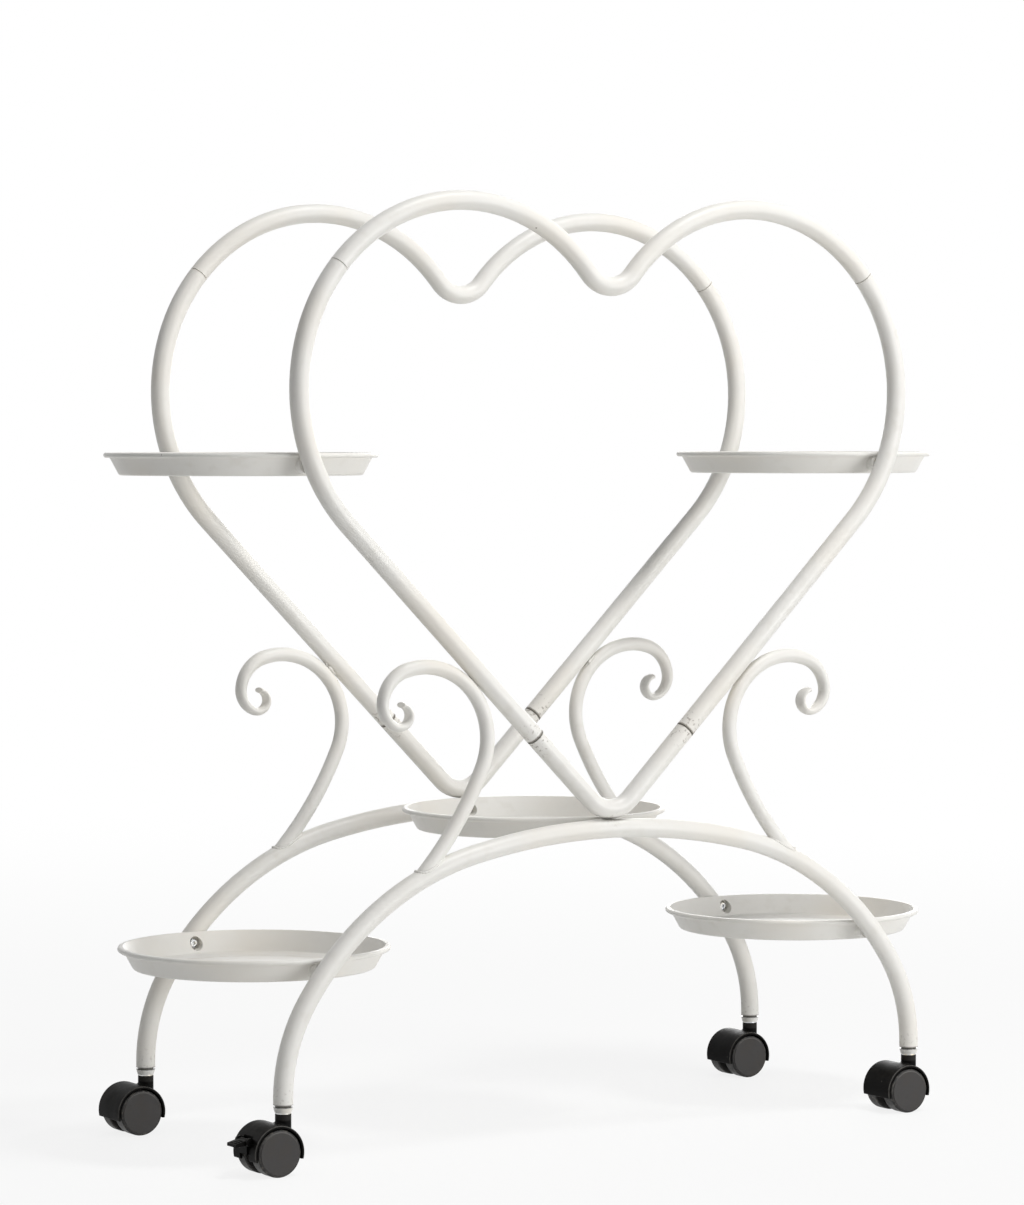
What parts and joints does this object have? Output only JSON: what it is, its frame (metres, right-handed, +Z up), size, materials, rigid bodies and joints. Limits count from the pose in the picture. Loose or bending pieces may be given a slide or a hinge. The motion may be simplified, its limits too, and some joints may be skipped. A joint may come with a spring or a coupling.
{
  "type": "rolling plant stand",
  "caption": "Heart-shaped rolling plant stand: twin bent-tube frames joined by round dish trays, with scrolls on an arched base and swivel casters.",
  "frame": {"origin": "on the floor, midway between the four legs", "axes": "+Z up, +X to the right along the width, +Y to the back; the front frame is at -Y"},
  "size_m": [0.7854, 0.278, 0.7814],
  "materials": {
    "frame_paint": "satin powder coat, warm white",
    "tray_paint": "satin powder coat, warm white",
    "socket_plastic": "glossy, white",
    "caster_plastic": "satin, black",
    "wheel_plastic": "satin, charcoal",
    "zinc_steel": "zinc plated"
  },
  "bodies": {
    "frame": {"front_base_arch": "frame_paint", "back_base_arch": "frame_paint", "front_right_scroll": "frame_paint", "front_left_scroll": "frame_paint", "back_right_scroll": "frame_paint", "back_left_scroll": "frame_paint", "front_heart_foot": "frame_paint", "back_heart_foot": "frame_paint", "front_right_heart_side": "frame_paint", "front_left_heart_side": "frame_paint", "back_right_heart_side": "frame_paint", "back_left_heart_side": "frame_paint", "front_heart_top": "frame_paint", "back_heart_top": "frame_paint", "left_leg_tray": "tray_paint", "right_leg_tray": "tray_paint", "apex_tray": "tray_paint", "left_side_tray": "tray_paint", "right_side_tray": "tray_paint", "tray_screws": "zinc_steel", "rivet_nuts": "zinc_steel", "front_left_leg_socket": "socket_plastic", "front_left_caster_stem": "zinc_steel", "front_right_leg_socket": "socket_plastic", "front_right_caster_stem": "zinc_steel", "back_left_leg_socket": "socket_plastic", "back_left_caster_stem": "zinc_steel", "back_right_leg_socket": "socket_plastic", "back_right_caster_stem": "zinc_steel"},
    "front_left_caster": {"front_left_caster_hood": "caster_plastic", "front_left_caster_axle": "zinc_steel"},
    "front_left_wheel_front": {"front_left_caster_wheel_front": "wheel_plastic"},
    "front_left_wheel_back": {"front_left_caster_wheel_back": "wheel_plastic"},
    "brake_lever": {"front_left_brake_lever": "caster_plastic"},
    "front_right_caster": {"front_right_caster_hood": "caster_plastic", "front_right_caster_axle": "zinc_steel"},
    "front_right_wheel_front": {"front_right_caster_wheel_front": "wheel_plastic"},
    "front_right_wheel_back": {"front_right_caster_wheel_back": "wheel_plastic"},
    "back_left_caster": {"back_left_caster_hood": "caster_plastic", "back_left_caster_axle": "zinc_steel"},
    "back_left_wheel_front": {"back_left_caster_wheel_front": "wheel_plastic"},
    "back_left_wheel_back": {"back_left_caster_wheel_back": "wheel_plastic"},
    "back_right_caster": {"back_right_caster_hood": "caster_plastic", "back_right_caster_axle": "zinc_steel"},
    "back_right_wheel_front": {"back_right_caster_wheel_front": "wheel_plastic"},
    "back_right_wheel_back": {"back_right_caster_wheel_back": "wheel_plastic"}
  },
  "joints": [
    {"name": "front_left_swivel", "type": "hinge", "parent": "frame", "child": "front_left_caster", "pos_m": [-0.30882, -0.12, 0.0545], "axis": [0, 0, 1], "continuous": true},
    {"name": "front_left_roll_front", "type": "hinge", "parent": "front_left_caster", "child": "front_left_wheel_front", "pos_m": [-0.32182, -0.12, 0.019], "axis": [0, 1, 0], "continuous": true},
    {"name": "front_left_roll_back", "type": "hinge", "parent": "front_left_caster", "child": "front_left_wheel_back", "pos_m": [-0.32182, -0.12, 0.019], "axis": [0, 1, 0], "continuous": true},
    {"name": "brake_press", "type": "hinge", "parent": "front_left_caster", "child": "brake_lever", "pos_m": [-0.34332, -0.12, 0.0285], "axis": [0, -1, 0], "range_deg": [0, 11]},
    {"name": "front_right_swivel", "type": "hinge", "parent": "frame", "child": "front_right_caster", "pos_m": [0.30882, -0.12, 0.0545], "axis": [0, 0, 1], "continuous": true},
    {"name": "front_right_roll_front", "type": "hinge", "parent": "front_right_caster", "child": "front_right_wheel_front", "pos_m": [0.29582, -0.12, 0.019], "axis": [0, 1, 0], "continuous": true},
    {"name": "front_right_roll_back", "type": "hinge", "parent": "front_right_caster", "child": "front_right_wheel_back", "pos_m": [0.29582, -0.12, 0.019], "axis": [0, 1, 0], "continuous": true},
    {"name": "back_left_swivel", "type": "hinge", "parent": "frame", "child": "back_left_caster", "pos_m": [-0.30882, 0.12, 0.0545], "axis": [0, 0, 1], "continuous": true},
    {"name": "back_left_roll_front", "type": "hinge", "parent": "back_left_caster", "child": "back_left_wheel_front", "pos_m": [-0.32182, 0.12, 0.019], "axis": [0, 1, 0], "continuous": true},
    {"name": "back_left_roll_back", "type": "hinge", "parent": "back_left_caster", "child": "back_left_wheel_back", "pos_m": [-0.32182, 0.12, 0.019], "axis": [0, 1, 0], "continuous": true},
    {"name": "back_right_swivel", "type": "hinge", "parent": "frame", "child": "back_right_caster", "pos_m": [0.30882, 0.12, 0.0545], "axis": [0, 0, 1], "continuous": true},
    {"name": "back_right_roll_front", "type": "hinge", "parent": "back_right_caster", "child": "back_right_wheel_front", "pos_m": [0.29582, 0.12, 0.019], "axis": [0, 1, 0], "continuous": true},
    {"name": "back_right_roll_back", "type": "hinge", "parent": "back_right_caster", "child": "back_right_wheel_back", "pos_m": [0.29582, 0.12, 0.019], "axis": [0, 1, 0], "continuous": true}
  ]
}
